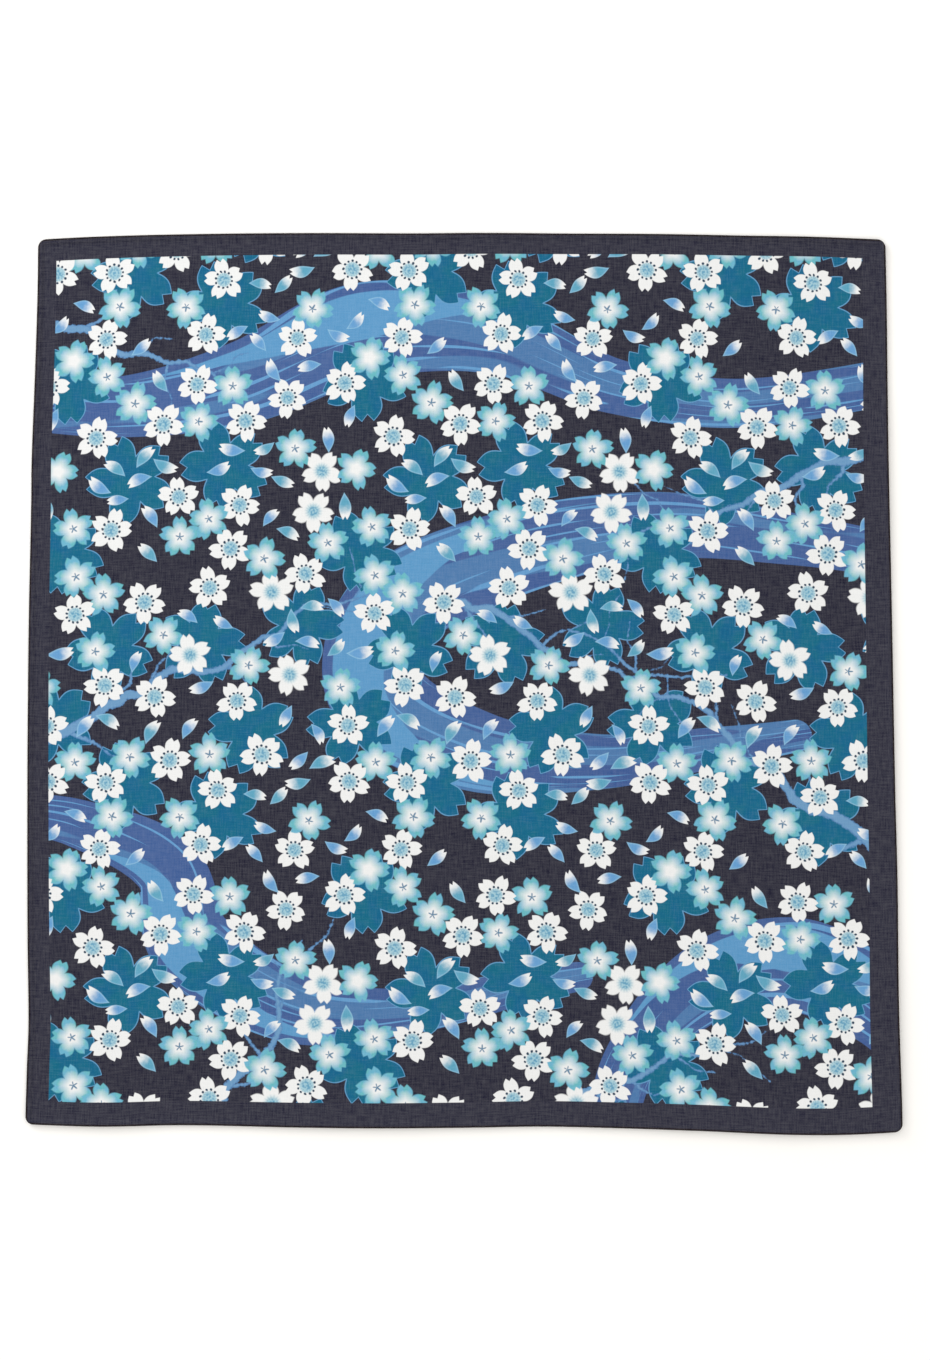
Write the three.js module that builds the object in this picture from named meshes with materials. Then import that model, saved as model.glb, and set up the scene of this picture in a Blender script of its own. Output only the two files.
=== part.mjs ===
// A hemmed cotton bandana, opened out and laid flat with its printed side up.
// Millimetres, +Z up. +X runs to the right and +Y to the far hem, as seen by someone who stands
// at the near hem. The origin is under the middle of the cloth, on the surface that it lies on.

import * as THREE from 'three';
import { mergeVertices } from 'three/addons/utils/BufferGeometryUtils.js';

// Hemmed size of the cloth before it was laid out, used to space the grid of the sheet.
const flatWidth = 530;
const flatLength = 552;

// Where the four corners lie. The cloth is a little wider at the near hem than at the far one.
const corners = {
  farLeft: new THREE.Vector2(-262.1, 273.5),
  farRight: new THREE.Vector2(259.4, 273.4),
  nearRight: new THREE.Vector2(270.0, -275.7),
  nearLeft: new THREE.Vector2(-270.0, -271.1),
};

// The radius of the turned corners, after the two hems are folded over each other.
const cornerRadius = 5;

// Thickness of the single cloth, of the rolled hem, and of the hem's folded outer lip.
const clothThickness = 1.1;
const hemThickness = 1.6;
const lipThickness = 1.2;

// How far in from the outline the grid has its lines: lip, hem, foot of the hem, then the margin
// that lifts off the surface. Past the last one the lines are evenly spaced.
const lipInset = 0.8;
const hemInset = 3.0;
const hemFootInset = 3.8;
const marginInsets = [8, 15, 24, 34];
const cellsBetweenMargins = 26;

// Each hem wanders off the straight line between its corners. "along" runs from 0 to 1, left to
// right on the far and near hems and near to far on the left and right hems. "out" is how far the
// hem bulges outwards in millimetres, and "up" is how far it stands off the surface there.
const farHem = [
  { along: 0.0, out: 0.0, up: 0.3 },
  { along: 0.07, out: 1.9, up: 0.2 },
  { along: 0.17, out: 3.3, up: 0.5 },
  { along: 0.31, out: 4.1, up: 0.2 },
  { along: 0.45, out: 3.9, up: 0.4 },
  { along: 0.52, out: 4.2, up: 0.6 },
  { along: 0.64, out: 3.8, up: 0.2 },
  { along: 0.73, out: 3.6, up: 0.3 },
  { along: 0.83, out: 2.6, up: 0.7 },
  { along: 0.92, out: 1.8, up: 0.6 },
  { along: 1.0, out: 0.0, up: 0.8 },
];
const nearHem = [
  { along: 0.0, out: 0.0, up: 1.2 },
  { along: 0.085, out: 1.0, up: 1.7 },
  { along: 0.18, out: -0.3, up: 1.1 },
  { along: 0.31, out: 0.5, up: 1.5 },
  { along: 0.4, out: 0.6, up: 1.9 },
  { along: 0.5, out: -0.2, up: 1.3 },
  { along: 0.59, out: -1.3, up: 1.0 },
  { along: 0.68, out: -0.7, up: 1.4 },
  { along: 0.77, out: 0.5, up: 2.0 },
  { along: 0.86, out: 2.2, up: 2.3 },
  { along: 0.91, out: 2.4, up: 1.9 },
  { along: 0.95, out: 1.8, up: 1.6 },
  { along: 1.0, out: 0.0, up: 1.5 },
];
const leftHem = [
  { along: 0.0, out: 0.0, up: 0.8 },
  { along: 0.06, out: -0.4, up: 0.6 },
  { along: 0.115, out: -1.0, up: 0.3 },
  { along: 0.21, out: 0.3, up: 0.7 },
  { along: 0.3, out: 1.2, up: 0.4 },
  { along: 0.43, out: 2.1, up: 0.2 },
  { along: 0.57, out: 2.4, up: 0.5 },
  { along: 0.7, out: 2.0, up: 0.3 },
  { along: 0.75, out: 2.1, up: 0.3 },
  { along: 0.84, out: 0.9, up: 0.6 },
  { along: 0.93, out: 0.0, up: 0.3 },
  { along: 1.0, out: 0.0, up: 0.3 },
];
const rightHem = [
  { along: 0.0, out: 0.0, up: 1.5 },
  { along: 0.03, out: 0.0, up: 1.7 },
  { along: 0.12, out: -0.7, up: 2.1 },
  { along: 0.17, out: -0.7, up: 1.8 },
  { along: 0.28, out: -0.1, up: 1.2 },
  { along: 0.39, out: -0.5, up: 1.6 },
  { along: 0.6, out: -0.4, up: 1.1 },
  { along: 0.75, out: -0.6, up: 1.5 },
  { along: 0.84, out: -0.3, up: 1.0 },
  { along: 0.93, out: 0.1, up: 0.7 },
  { along: 1.0, out: 0.0, up: 0.8 },
];

// How far in from a hem the cloth is off the surface.
const liftReach = 32;

// A smooth curve through one column of a hem's table.
function hemColumn(rows, column) {
  const last = rows.length - 1;
  const slopes = rows.map((row, i) => {
    const before = rows[Math.max(i - 1, 0)];
    const after = rows[Math.min(i + 1, last)];
    return (after[column] - before[column]) / (after.along - before.along);
  });
  return (along) => {
    let i = 0;
    while (i < last - 1 && along > rows[i + 1].along) {
      i += 1;
    }
    const span = rows[i + 1].along - rows[i].along;
    const f = (along - rows[i].along) / span;
    const rise = f * f * (3 - 2 * f);
    const leave = f * (1 - f) * (1 - f) * span;
    const arrive = f * f * (f - 1) * span;
    return rows[i][column] * (1 - rise) + rows[i + 1][column] * rise
      + slopes[i] * leave + slopes[i + 1] * arrive;
  };
}

// One hem as a curve on the surface, from its first corner to its last. "side" is 1 where the
// outside of the cloth lies to the left of that way along, and -1 where it lies to the right.
function hemCurve(rows, from, to, side) {
  const bulge = hemColumn(rows, 'out');
  const chord = new THREE.Vector2().subVectors(to, from);
  const outward = new THREE.Vector2(-chord.y, chord.x).normalize().multiplyScalar(side);
  return (along) => from.clone()
    .addScaledVector(chord, along)
    .addScaledVector(outward, bulge(along));
}

const farCurve = hemCurve(farHem, corners.farLeft, corners.farRight, 1);
const nearCurve = hemCurve(nearHem, corners.nearLeft, corners.nearRight, -1);
const leftCurve = hemCurve(leftHem, corners.nearLeft, corners.farLeft, 1);
const rightCurve = hemCurve(rightHem, corners.nearRight, corners.farRight, -1);

const farLift = hemColumn(farHem, 'up');
const nearLift = hemColumn(nearHem, 'up');
const leftLift = hemColumn(leftHem, 'up');
const rightLift = hemColumn(rightHem, 'up');

// Where a spot of the flat cloth lies, between its four hems. across and along run from 0 to 1.
function layOut(across, along) {
  const place = new THREE.Vector2()
    .addScaledVector(nearCurve(across), 1 - along)
    .addScaledVector(farCurve(across), along)
    .addScaledVector(leftCurve(along), 1 - across)
    .addScaledVector(rightCurve(along), across);
  return place
    .addScaledVector(corners.nearLeft, -(1 - across) * (1 - along))
    .addScaledVector(corners.nearRight, -across * (1 - along))
    .addScaledVector(corners.farLeft, -(1 - across) * along)
    .addScaledVector(corners.farRight, -across * along);
}

// The height of the underside, which is flat on the surface away from the hems.
function underside(x, y) {
  const fade = (distance) => 1 - THREE.MathUtils.smoothstep(distance, 0, liftReach);
  const across = x / flatWidth;
  const along = y / flatLength;
  return Math.hypot(
    nearLift(across) * fade(y),
    farLift(across) * fade(flatLength - y),
    leftLift(along) * fade(x),
    rightLift(along) * fade(flatWidth - x),
  );
}

// The thickness of the sheet at a distance from its outline.
function thicknessAt(inset) {
  if (inset < lipInset) {
    return lipThickness;
  }
  return inset < hemFootInset ? hemThickness : clothThickness;
}

// Grid lines across one way of the cloth, closer together at the hems.
function gridLines(length) {
  const margin = [0, lipInset, hemInset, hemFootInset, ...marginInsets];
  const innermost = marginInsets[marginInsets.length - 1];
  const cell = (length - 2 * innermost) / cellsBetweenMargins;
  const inner = [];
  for (let i = 1; i < cellsBetweenMargins; i += 1) {
    inner.push(innermost + i * cell);
  }
  const farMargin = margin.map((inset) => length - inset).reverse();
  return [...margin, ...inner, ...farMargin];
}

// Moves a spot inside a corner's square to where it lies once the corner is round.
function roundCorner(x, y) {
  const cornerX = x < flatWidth / 2 ? cornerRadius : flatWidth - cornerRadius;
  const cornerY = y < flatLength / 2 ? cornerRadius : flatLength - cornerRadius;
  const outX = (x - cornerX) / cornerRadius;
  const outY = (y - cornerY) / cornerRadius;
  const beyondX = Math.abs(x - flatWidth / 2) > flatWidth / 2 - cornerRadius;
  const beyondY = Math.abs(y - flatLength / 2) > flatLength / 2 - cornerRadius;
  if (!beyondX || !beyondY) {
    return [x, y];
  }
  return [
    cornerX + outX * cornerRadius * Math.sqrt(1 - (outY * outY) / 2),
    cornerY + outY * cornerRadius * Math.sqrt(1 - (outX * outX) / 2),
  ];
}

// The whole cloth as one closed sheet: a slab of grid cells, laid out spot by spot.
function sheetGeometry() {
  const columns = gridLines(flatWidth);
  const rows = gridLines(flatLength);
  const slab = new THREE.BoxGeometry(1, 1, 1, columns.length - 1, rows.length - 1, 1);
  slab.deleteAttribute('normal');
  slab.deleteAttribute('uv');
  const sheet = mergeVertices(slab, 1e-5);
  const points = sheet.getAttribute('position');
  for (let i = 0; i < points.count; i += 1) {
    const column = Math.round((points.getX(i) + 0.5) * (columns.length - 1));
    const row = Math.round((points.getY(i) + 0.5) * (rows.length - 1));
    const inset = Math.min(
      columns[column],
      rows[row],
      flatWidth - columns[column],
      flatLength - rows[row],
    );
    const [x, y] = roundCorner(columns[column], rows[row]);
    const place = layOut(x / flatWidth, y / flatLength);
    const onTop = points.getZ(i) > 0;
    const height = underside(x, y) + (onTop ? thicknessAt(inset) : 0);
    points.setXYZ(i, place.x, place.y, height);
  }
  sheet.computeBoundingBox();
  const middle = sheet.boundingBox.getCenter(new THREE.Vector3());
  sheet.translate(-middle.x, -middle.y, 0);
  sheet.computeVertexNormals();
  return sheet;
}

const printedCotton = new THREE.MeshStandardMaterial({
  color: '#3c3945',
  roughness: 0.92,
  metalness: 0,
});

function buildCloth() {
  const cloth = new THREE.Mesh(sheetGeometry(), printedCotton);
  cloth.name = 'cloth';
  return cloth;
}

const bandana = new THREE.Group();
bandana.add(buildCloth());

export default bandana;
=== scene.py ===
# A cotton bandana opened out flat: the printed cloth with its turned hem, and the hem's stitches.
import math
import random

import bmesh
import bpy
import numpy as np
from mathutils import Matrix, Vector, kdtree


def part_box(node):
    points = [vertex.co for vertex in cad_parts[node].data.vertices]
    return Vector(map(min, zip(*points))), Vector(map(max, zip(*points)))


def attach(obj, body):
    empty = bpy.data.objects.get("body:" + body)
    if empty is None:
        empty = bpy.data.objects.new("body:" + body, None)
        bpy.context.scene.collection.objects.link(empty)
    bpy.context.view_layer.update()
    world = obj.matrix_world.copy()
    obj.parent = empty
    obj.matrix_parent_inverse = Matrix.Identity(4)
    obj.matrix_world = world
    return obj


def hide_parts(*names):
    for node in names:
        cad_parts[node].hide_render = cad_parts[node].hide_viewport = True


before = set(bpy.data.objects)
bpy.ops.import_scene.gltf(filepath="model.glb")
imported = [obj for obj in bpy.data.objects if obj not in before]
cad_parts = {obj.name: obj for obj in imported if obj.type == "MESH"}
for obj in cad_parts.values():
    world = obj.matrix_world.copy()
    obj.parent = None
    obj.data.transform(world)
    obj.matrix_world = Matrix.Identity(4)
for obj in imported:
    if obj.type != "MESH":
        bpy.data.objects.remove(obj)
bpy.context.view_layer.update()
mm = 0.001  # lengths below are in millimetres, and a mesh is in metres

# How the cloth lies. Each hem row holds: share along the hem, bulge outwards, lift off the floor.
lay = {
    "width": 530, "length": 552, "cornerRadius": 5,
    "corners": {"farLeft": (-262.1, 273.5), "farRight": (259.4, 273.4),
                "nearRight": (270.0, -275.7), "nearLeft": (-270.0, -271.1)},
    "farHem": ((0, 0, 0.3), (0.07, 1.9, 0.2), (0.17, 3.3, 0.5), (0.31, 4.1, 0.2), (0.45, 3.9, 0.4),
               (0.52, 4.2, 0.6), (0.64, 3.8, 0.2), (0.73, 3.6, 0.3), (0.83, 2.6, 0.7),
               (0.92, 1.8, 0.6), (1, 0, 0.8)),
    "nearHem": ((0, 0, 1.2), (0.085, 1.0, 1.7), (0.18, -0.3, 1.1), (0.31, 0.5, 1.5), (0.4, 0.6, 1.9),
                (0.5, -0.2, 1.3), (0.59, -1.3, 1.0), (0.68, -0.7, 1.4), (0.77, 0.5, 2.0),
                (0.86, 2.2, 2.3), (0.91, 2.4, 1.9), (0.95, 1.8, 1.6), (1, 0, 1.5)),
    "leftHem": ((0, 0, 0.8), (0.06, -0.4, 0.6), (0.115, -1.0, 0.3), (0.21, 0.3, 0.7), (0.3, 1.2, 0.4),
                (0.43, 2.1, 0.2), (0.57, 2.4, 0.5), (0.7, 2.0, 0.3), (0.75, 2.1, 0.3),
                (0.84, 0.9, 0.6), (0.93, 0, 0.3), (1, 0, 0.3)),
    "rightHem": ((0, 0, 1.5), (0.03, 0, 1.7), (0.12, -0.7, 2.1), (0.17, -0.7, 1.8), (0.28, -0.1, 1.2),
                 (0.39, -0.5, 1.6), (0.6, -0.4, 1.1), (0.75, -0.6, 1.5), (0.84, -0.3, 1.0),
                 (0.93, 0.1, 0.7), (1, 0, 0.8)),
    "liftReach": 32,
}

# The sheet itself. Each profile row holds: distance in from the edge, underside, top face.
sheet = {
    "cell": 2.7,
    "profile": ((0, 0.34, 0.62), (0.25, 0.1, 0.88), (0.7, 0, 1.0), (1.6, 0, 1.02), (2.45, 0, 0.84),
                (2.95, 0, 0.86), (3.4, 0, 0.42), (4.4, 0, 0.34)),
    "swell": 0.22, "swellLength": 74,
    "pucker": 0.14, "puckerLength": 8.5, "puckerReach": 11,
}


def smoothColumn(rows, column, along):
    knots, values = np.array(rows)[:, 0], np.array(rows)[:, column]
    wideKnots, wideValues = np.pad(knots, 1, mode="edge"), np.pad(values, 1, mode="edge")
    slopes = (wideValues[2:] - wideValues[:-2]) / (wideKnots[2:] - wideKnots[:-2])
    i = np.clip(np.searchsorted(knots, along, side="right") - 1, 0, len(knots) - 2)
    span = knots[i + 1] - knots[i]
    f = (along - knots[i]) / span
    rise = f * f * (3 - 2 * f)
    bend = slopes[i] * f * (1 - f) ** 2 + slopes[i + 1] * f * f * (f - 1)
    return values[i] * (1 - rise) + values[i + 1] * rise + span * bend


def hemCurve(rows, start, end, side, along):
    chord = np.subtract(end, start)
    outward = side * np.array((-chord[1], chord[0])) / np.hypot(*chord)
    bulge = smoothColumn(rows, 1, along)
    return np.add(start, along[:, None] * chord + bulge[:, None] * outward)


def layOut(flat):  # flat spots of the cloth to where they lie, between the four hems
    corners = {name: np.array(spot) for name, spot in lay["corners"].items()}
    across, along = flat[:, 0] / lay["width"], flat[:, 1] / lay["length"]
    s, t = across[:, None], along[:, None]
    near = hemCurve(lay["nearHem"], corners["nearLeft"], corners["nearRight"], -1, across)
    far = hemCurve(lay["farHem"], corners["farLeft"], corners["farRight"], 1, across)
    left = hemCurve(lay["leftHem"], corners["nearLeft"], corners["farLeft"], 1, along)
    right = hemCurve(lay["rightHem"], corners["nearRight"], corners["farRight"], -1, along)
    between = (1 - s) * ((1 - t) * corners["nearLeft"] + t * corners["farLeft"])
    between += s * ((1 - t) * corners["nearRight"] + t * corners["farRight"])
    return (1 - t) * near + t * far + (1 - s) * left + s * right - between


def smooth(value):
    f = np.clip(value, 0, 1)
    return f * f * (3 - 2 * f)


def liftOf(flat):  # height of the cloth's underside over the floor
    x, y = flat[:, 0], flat[:, 1]
    hems = (("nearHem", x / lay["width"], y), ("farHem", x / lay["width"], lay["length"] - y),
            ("leftHem", y / lay["length"], x), ("rightHem", y / lay["length"], lay["width"] - x))
    lifts = [smoothColumn(lay[name], 2, along) * (1 - smooth(inset / lay["liftReach"]))
             for name, along, inset in hems]
    wave = 2 * math.pi / sheet["swellLength"]
    swell = sheet["swell"] * (1 + np.sin(wave * (x + 0.4 * y)) * np.sin(wave * (0.7 * y - 0.3 * x))) / 2
    inset = np.minimum(np.minimum(x, lay["width"] - x), np.minimum(y, lay["length"] - y))
    ripple = 2 * math.pi / sheet["puckerLength"]
    pucker = np.sin(ripple * x + 3 * np.sin(0.05 * x)) * np.sin(ripple * y + 3 * np.sin(0.043 * y))
    pucker = sheet["pucker"] * (1 + pucker) / 2 * (1 - smooth(inset / sheet["puckerReach"]))
    return np.sqrt(sum(lift ** 2 for lift in lifts)) + swell + pucker


def gridLines(length):  # closer together at the hem, even across the field
    insets = [row[0] for row in sheet["profile"]]
    inner = length - 2 * insets[-1]
    cells = round(inner / sheet["cell"])
    field = [insets[-1] + inner * i / cells for i in range(1, cells)]
    return np.array(insets + field + [length - inset for inset in reversed(insets)])


def roundCorners(flat):
    size, radius = np.array((lay["width"], lay["length"])), lay["cornerRadius"]
    side = np.where(flat < size / 2, -1.0, 1.0)
    middle = np.where(flat < size / 2, radius, size - radius)
    out = side * (flat - middle) / radius  # over 0 in both ways only inside a corner's square
    inCorner = (out > 0).all(axis=1)[:, None]
    arc = out * np.sqrt(np.clip(1 - out[:, ::-1] ** 2 / 2, 0, 1))
    return np.where(inCorner, middle + side * arc * radius, flat)


def sheetMesh():
    columns, rows = gridLines(lay["width"]), gridLines(lay["length"])
    bm = bmesh.new()
    bmesh.ops.create_grid(bm, x_segments=len(columns) - 1, y_segments=len(rows) - 1, size=0.5)
    doubled = bmesh.ops.extrude_face_region(bm, geom=bm.faces[:], use_keep_orig=True)
    upper = [part for part in doubled["geom"] if isinstance(part, bmesh.types.BMVert)]
    bmesh.ops.translate(bm, verts=upper, vec=(0, 0, 1))
    bmesh.ops.recalc_face_normals(bm, faces=bm.faces[:])
    mesh = bpy.data.meshes.new("printedCotton")
    bm.to_mesh(mesh)
    bm.free()

    spots = np.empty(len(mesh.vertices) * 3, np.float32)
    mesh.vertices.foreach_get("co", spots)
    spots = spots.reshape(-1, 3)
    column = np.rint((spots[:, 0] + 0.5) * (len(columns) - 1)).astype(int)
    row = np.rint((spots[:, 1] + 0.5) * (len(rows) - 1)).astype(int)
    square = np.stack((columns[column], rows[row]), axis=1)
    inset = np.minimum(square, (lay["width"], lay["length"]) - square).min(axis=1)
    flat = roundCorners(square)
    onTop = spots[:, 2] > 0.5
    profile = np.array(sheet["profile"])
    height = np.interp(inset, profile[:, 0], profile[:, 1])
    height[onTop] = np.interp(inset, profile[:, 0], profile[:, 2])[onTop]
    return mesh, flat, onTop, inset, liftOf(flat) + height


def fitToFrame(laid):  # the laid outline, moved over the CAD sheet's own box
    low, high = (np.array(corner)[:2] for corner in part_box("cloth"))
    middle = (laid.min(axis=0) + laid.max(axis=0)) / 2
    return (low + high) / 2 - middle * mm


mesh, flat, onTop, inset, height = sheetMesh()
laid = layOut(flat)
shift = fitToFrame(laid)
floorGap = 0.05 * mm  # the underside starts this far over the floor
places = np.column_stack((laid * mm + shift, height * mm + floorGap))
mesh.vertices.foreach_set("co", places.astype(np.float32).ravel())
mesh.update()
print("cloth laid out:", len(mesh.vertices), "vertices,", len(mesh.polygons), "faces")

# The plain margin round the print: at the near and far end, or at the left and right end.
field = {"left": (13.7, 11.5), "right": (18.0, 14.6), "near": (14.7, 16.4), "far": (13.9, 12.0)}

# The flowers repeat over the cloth, as a printing screen does. Radii and gaps in millimetres.
repeat = {
    "size": np.array((184.0, 316.0)), "seed": 3, "layers": 3, "faceGap": 3.9,
    "blossom": 12.9, "loose": 28, "paired": 29, "pairGap": (20.5, 24.0), "leastGap": 20.3,
    "whiteGap": 23.5,
    "petal": (6.9, 8.4), "petals": 52, "petalGap": 13.5, "petalToBlossom": 18.6, "petalTurn": 0.85,
    "large": 27, "larges": 12, "largeLayers": 2, "vary": (0.96, 1.03), "whites": ("stamens", "soft"),
    "kinds": {"stamens": 0.77, "star": 0.09, "soft": 0.06, "glow": 0.08},
}
kindCode = {"stamens": 1, "star": 2, "soft": 3, "glow": 4, "bluePetal": 5, "greenPetal": 6,
            "large": 7}  # a motif's own part past the whole number sets it apart from its like

# Indigo streams, each a run of: x, y, half width, crescent (over 0 on the left of the way it runs).
streams = (
    ((-25, 452, 16, 0), (55, 446, 19, 0), (130, 460, 26, 0.3), (205, 492, 30, 0.9), (285, 488, 23, 0.2),
     (360, 458, 17, 0), (440, 449, 15, 0), (560, 470, 14, 0)),
    ((560, 352, 13, 0), (470, 366, 16, 0), (385, 372, 21, 0), (290, 352, 27, -0.2), (222, 318, 30, -0.9),
     (214, 268, 30, -0.9), (275, 232, 25, -0.2), (350, 226, 17, 0), (430, 238, 12, 0), (470, 245, 10, 0)),
    ((-25, 196, 11, 0), (30, 188, 15, 0), (85, 160, 21, -0.5), (100, 112, 26, -0.9), (160, 74, 22, -0.3),
     (232, 72, 14, 0), (300, 86, 11, 0), (335, 93, 9, 0)),
    ((350, -20, 14, 0), (366, 40, 17, 0), (414, 92, 24, 0.4), (470, 104, 29, 0.9), (520, 76, 24, 0.3),
     (556, 30, 18, 0)),
)

# Boughs grow in short straight steps, with twigs off them. Each starts at: x, y, heading, length,
# half width. They narrow to their ends.
growth = {
    "seed": 11, "step": (7, 13), "wander": 34, "taper": 0.85, "least": 0.3,
    "twigEvery": 3, "twigTurn": (35, 65), "twigLength": (16, 34), "twigWidth": 0.6, "reach": 3,
    "starts": ((4, 236, 24, 250, 3.4), (250, 330, -18, 190, 2.8), (528, 176, 152, 240, 3.8),
               (8, 500, -22, 150, 2.7), (524, 420, 196, 180, 3.1), (120, 6, 62, 150, 2.8),
               (330, 16, 24, 130, 2.5)),
}


def growBoughs():
    rng = random.Random(growth["seed"])
    boughs, twigs = [], []
    for x, y, heading, length, half in growth["starts"]:
        boughs.append(growOne(rng, x, y, heading, length, half))
        for row in boughs[-1][growth["twigEvery"] - 1:-2:growth["twigEvery"]]:
            turn = heading + rng.choice((-1, 1)) * rng.uniform(*growth["twigTurn"])
            reach = rng.uniform(*growth["twigLength"])
            twigs.append(growOne(rng, row[0], row[1], turn, reach, row[2] * growth["twigWidth"]))
    return boughs, twigs


def growOne(rng, x, y, heading, length, half):
    rows, grown = [(x, y, half, 0)], 0  # the last value is a stream's crescent, which wood lacks
    while grown < length:
        step = rng.uniform(*growth["step"])
        way = math.radians(heading + rng.uniform(-growth["wander"], growth["wander"]))
        x, y, grown = x + step * math.cos(way), y + step * math.sin(way), grown + step
        rows.append((x, y, max(half * (1 - growth["taper"] * grown / length), growth["least"]), 0))
    return rows


def routeOf(rows, kneed):  # a run through the rows, smooth or kneed, with a sample every millimetre
    table = np.array(rows, float)
    steps = np.hypot(*np.diff(table[:, :2], axis=0).T)
    knots = np.concatenate(([0], np.cumsum(steps)))
    table = np.column_stack((knots, table))
    along = np.linspace(0, knots[-1], int(knots[-1]))
    if kneed:
        route = np.column_stack([np.interp(along, knots, table[:, column]) for column in range(1, 5)])
    else:
        route = np.column_stack([smoothColumn(table, column, along) for column in range(1, 5)])
    way = np.gradient(route[:, :2], axis=0)
    way /= np.hypot(*way.T)[:, None]
    return np.column_stack((route, way, along))  # x, y, half width, crescent, direction, distance


def beside(runs, corners, kneed=False, window=8):  # each face corner's place beside the nearest run
    routes = [routeOf(run, kneed) for run in runs]
    joined = np.vstack(routes)
    ends = np.cumsum([len(route) for route in routes])
    tree = kdtree.KDTree(len(joined))
    for i, (x, y) in enumerate(joined[:, :2].tolist()):
        tree.insert((x, y, 0), i)
    tree.balance()
    nearest = np.array([tree.find((x, y, 0))[1] for x, y in corners.mean(axis=1).tolist()])
    whose = np.searchsorted(ends, nearest, side="right")
    first, last = np.concatenate(([0], ends[:-1]))[whose], ends[whose] - 1
    tries = nearest[:, None] + np.arange(-window, window + 1)
    tries = np.clip(tries, first[:, None], last[:, None])
    gaps = corners[:, :, None] - joined[tries][:, None, :, :2]
    best = (gaps ** 2).sum(axis=3).argmin(axis=2)
    pick = np.take_along_axis(tries, best, axis=1)
    at = joined[pick]
    gap = corners - at[:, :, :2]
    ahead = (gap * at[:, :, 4:6]).sum(axis=2)
    across = gap[:, :, 1] * at[:, :, 4] - gap[:, :, 0] * at[:, :, 5]
    half = at[:, :, 2]
    inside = half - np.hypot(gap[:, :, 0], gap[:, :, 1])
    if kneed:
        half = half - np.clip(np.abs(ahead) - 1, 0, None)  # the ends run out to a point
    return across, at[:, :, 6] + ahead, half, at[:, :, 3], inside


def gapBetween(spot, other):  # over the seams of the repeat
    gap = np.subtract(spot, other)
    return np.hypot(*(gap - repeat["size"] * np.rint(gap / repeat["size"])))


def spread(rng, count, spots, tries=60):  # adds spots as far apart as they will go
    for _ in range(count):
        drawn = [(rng.uniform(0, repeat["size"][0]), rng.uniform(0, repeat["size"][1]))
                 for _ in range(tries)]
        spots.append(max(drawn, key=lambda spot: min([gapBetween(spot, s) for s in spots], default=0)))
    return spots


def addPairs(rng, spots, tries=400):  # blossoms that touch one that is there
    for _ in range(repeat["paired"]):
        for _ in range(tries):
            base, turn = rng.choice(spots), rng.uniform(0, 2 * math.pi)
            reach = rng.uniform(*repeat["pairGap"])
            spot = np.add(base, (reach * math.cos(turn), reach * math.sin(turn))) % repeat["size"]
            if all(gapBetween(spot, other) > repeat["leastGap"] for other in spots):
                spots.append(tuple(spot))
                break
    return spots


def addPetals(rng, blossoms, tries=400):  # loose petals in the gaps between blossoms
    petals = []
    for _ in range(repeat["petals"]):
        for _ in range(tries):
            spot = (rng.uniform(0, repeat["size"][0]), rng.uniform(0, repeat["size"][1]))
            clear = all(gapBetween(spot, other) > repeat["petalToBlossom"] for other in blossoms)
            if clear and all(gapBetween(spot, other) > repeat["petalGap"] for other in petals):
                petals.append(spot)
                break
    return petals


def inLayers(motifs, count):  # motifs of a layer stand clear of each other
    layers = [[] for _ in range(count)]
    for motif in motifs:
        free = [layer for layer in layers
                if all(gapBetween(motif["spot"], other["spot"])
                       >= motif["radius"] + other["radius"] + repeat["faceGap"] for other in layer)]
        if free:
            min(free, key=len).append(motif)
    return layers


def makeMotif(rng, spot, radius, kind):
    return {"spot": spot, "kind": kind, "radius": radius * rng.uniform(*repeat["vary"]),
            "turn": rng.uniform(0, 2 * math.pi), "code": kindCode[kind] + rng.uniform(0.05, 0.95)}


def drawMotifs():
    rng = random.Random(repeat["seed"])
    blossoms = addPairs(rng, spread(rng, repeat["loose"], []))
    petals = addPetals(rng, blossoms)
    kinds, shares = zip(*repeat["kinds"].items())
    small = []
    for spot in blossoms:
        kind = rng.choices(kinds, shares)[0]
        crowded = [other for other in small if gapBetween(spot, other["spot"]) < repeat["whiteGap"]]
        if kind in repeat["whites"] and any(other["kind"] in repeat["whites"] for other in crowded):
            kind = "star"
        small.append(makeMotif(rng, spot, repeat["blossom"], kind))
    for spot in petals:
        kind = rng.choice(("bluePetal", "bluePetal", "greenPetal"))
        petal = makeMotif(rng, spot, rng.uniform(*repeat["petal"]), kind)
        petal["turn"] = rng.choice((0, math.pi)) + rng.gauss(0, repeat["petalTurn"])
        small.append(petal)
    large = [makeMotif(rng, spot, repeat["large"], "large") for spot in spread(rng, repeat["larges"], [])]
    return inLayers(small, repeat["layers"]), inLayers(large, repeat["largeLayers"])


def insideMotif(motifs, corners):  # each face corner's place inside the nearest motif, turned and scaled
    spots, radii, turns, codes = (np.array([motif[key] for motif in motifs])
                                  for key in ("spot", "radius", "turn", "code"))
    middles = corners.mean(axis=1)
    gaps = middles[:, None] - spots
    gaps -= repeat["size"] * np.rint(gaps / repeat["size"])
    reach = np.hypot(gaps[:, :, 0], gaps[:, :, 1]) - radii
    nearest = reach.argmin(axis=1)
    centre = middles - np.take_along_axis(gaps, nearest[:, None, None], axis=1)[:, 0]
    local = (corners - centre[:, None]) / radii[nearest][:, None, None]
    cos, sin = np.cos(turns[nearest])[:, None], np.sin(turns[nearest])[:, None]
    place = np.stack((local[:, :, 0] * cos + local[:, :, 1] * sin,
                      local[:, :, 1] * cos - local[:, :, 0] * sin,
                      np.broadcast_to(codes[nearest][:, None], local.shape[:2])), axis=2)
    place[reach.min(axis=1) > repeat["faceGap"] / 2] = (9, 9, 0)  # far off any motif
    return place


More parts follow.
